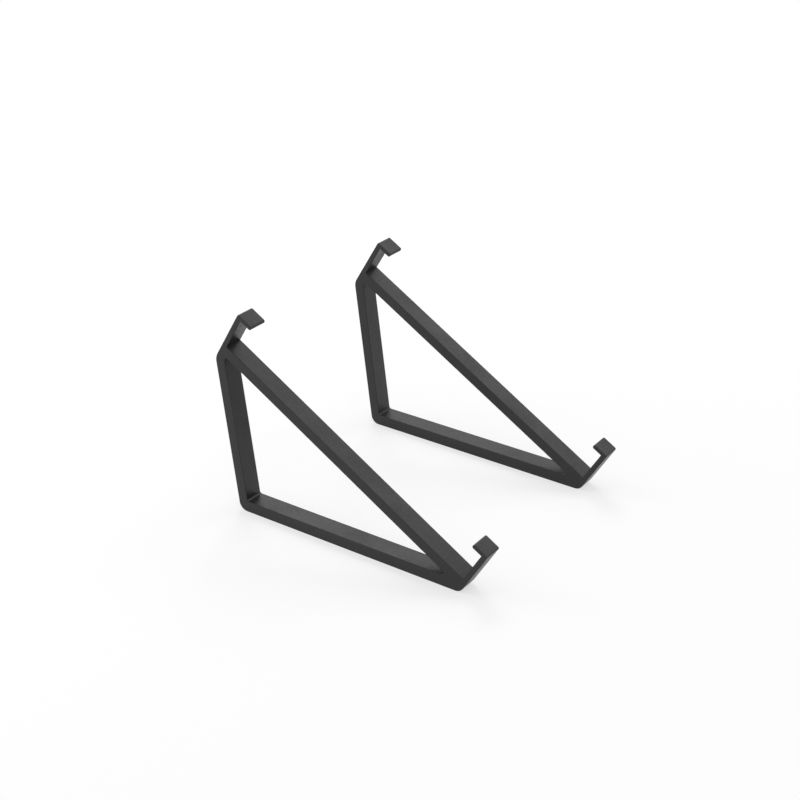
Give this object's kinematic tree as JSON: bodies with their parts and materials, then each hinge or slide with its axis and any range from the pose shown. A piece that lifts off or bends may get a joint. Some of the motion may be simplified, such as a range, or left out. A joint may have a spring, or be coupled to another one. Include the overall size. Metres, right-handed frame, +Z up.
{
  "type": "roof bracket",
  "caption": "Pair of triangular stands with a sloping rail and inward hooks at both ends, which hold a framed panel at a fixed tilt on a flat surface.",
  "frame": {"origin": "on the ground, in the middle of the pair's length and of the distance between the two brackets", "axes": "+X from the tall back to the toe, +Y from the left bracket to the right one, +Z up"},
  "size_m": [0.2558, 0.2042, 0.1769],
  "materials": {
    "black_plastic": "matte black moulded plastic with a fine texture"
  },
  "bodies": {
    "left_bracket": {"left_base_bar": "black_plastic", "left_upright": "black_plastic", "left_rail": "black_plastic", "left_upper_arm": "black_plastic", "left_upper_lip": "black_plastic", "left_lower_arm": "black_plastic", "left_lower_lip": "black_plastic"},
    "right_bracket": {"right_base_bar": "black_plastic", "right_upright": "black_plastic", "right_rail": "black_plastic", "right_upper_arm": "black_plastic", "right_upper_lip": "black_plastic", "right_lower_arm": "black_plastic", "right_lower_lip": "black_plastic"}
  },
  "joints": [
    {"name": "bracket_spacing", "type": "slide", "parent": "left_bracket", "child": "right_bracket", "axis": [0, 1, 0], "range_m": [-0.15, 0.15]}
  ]
}
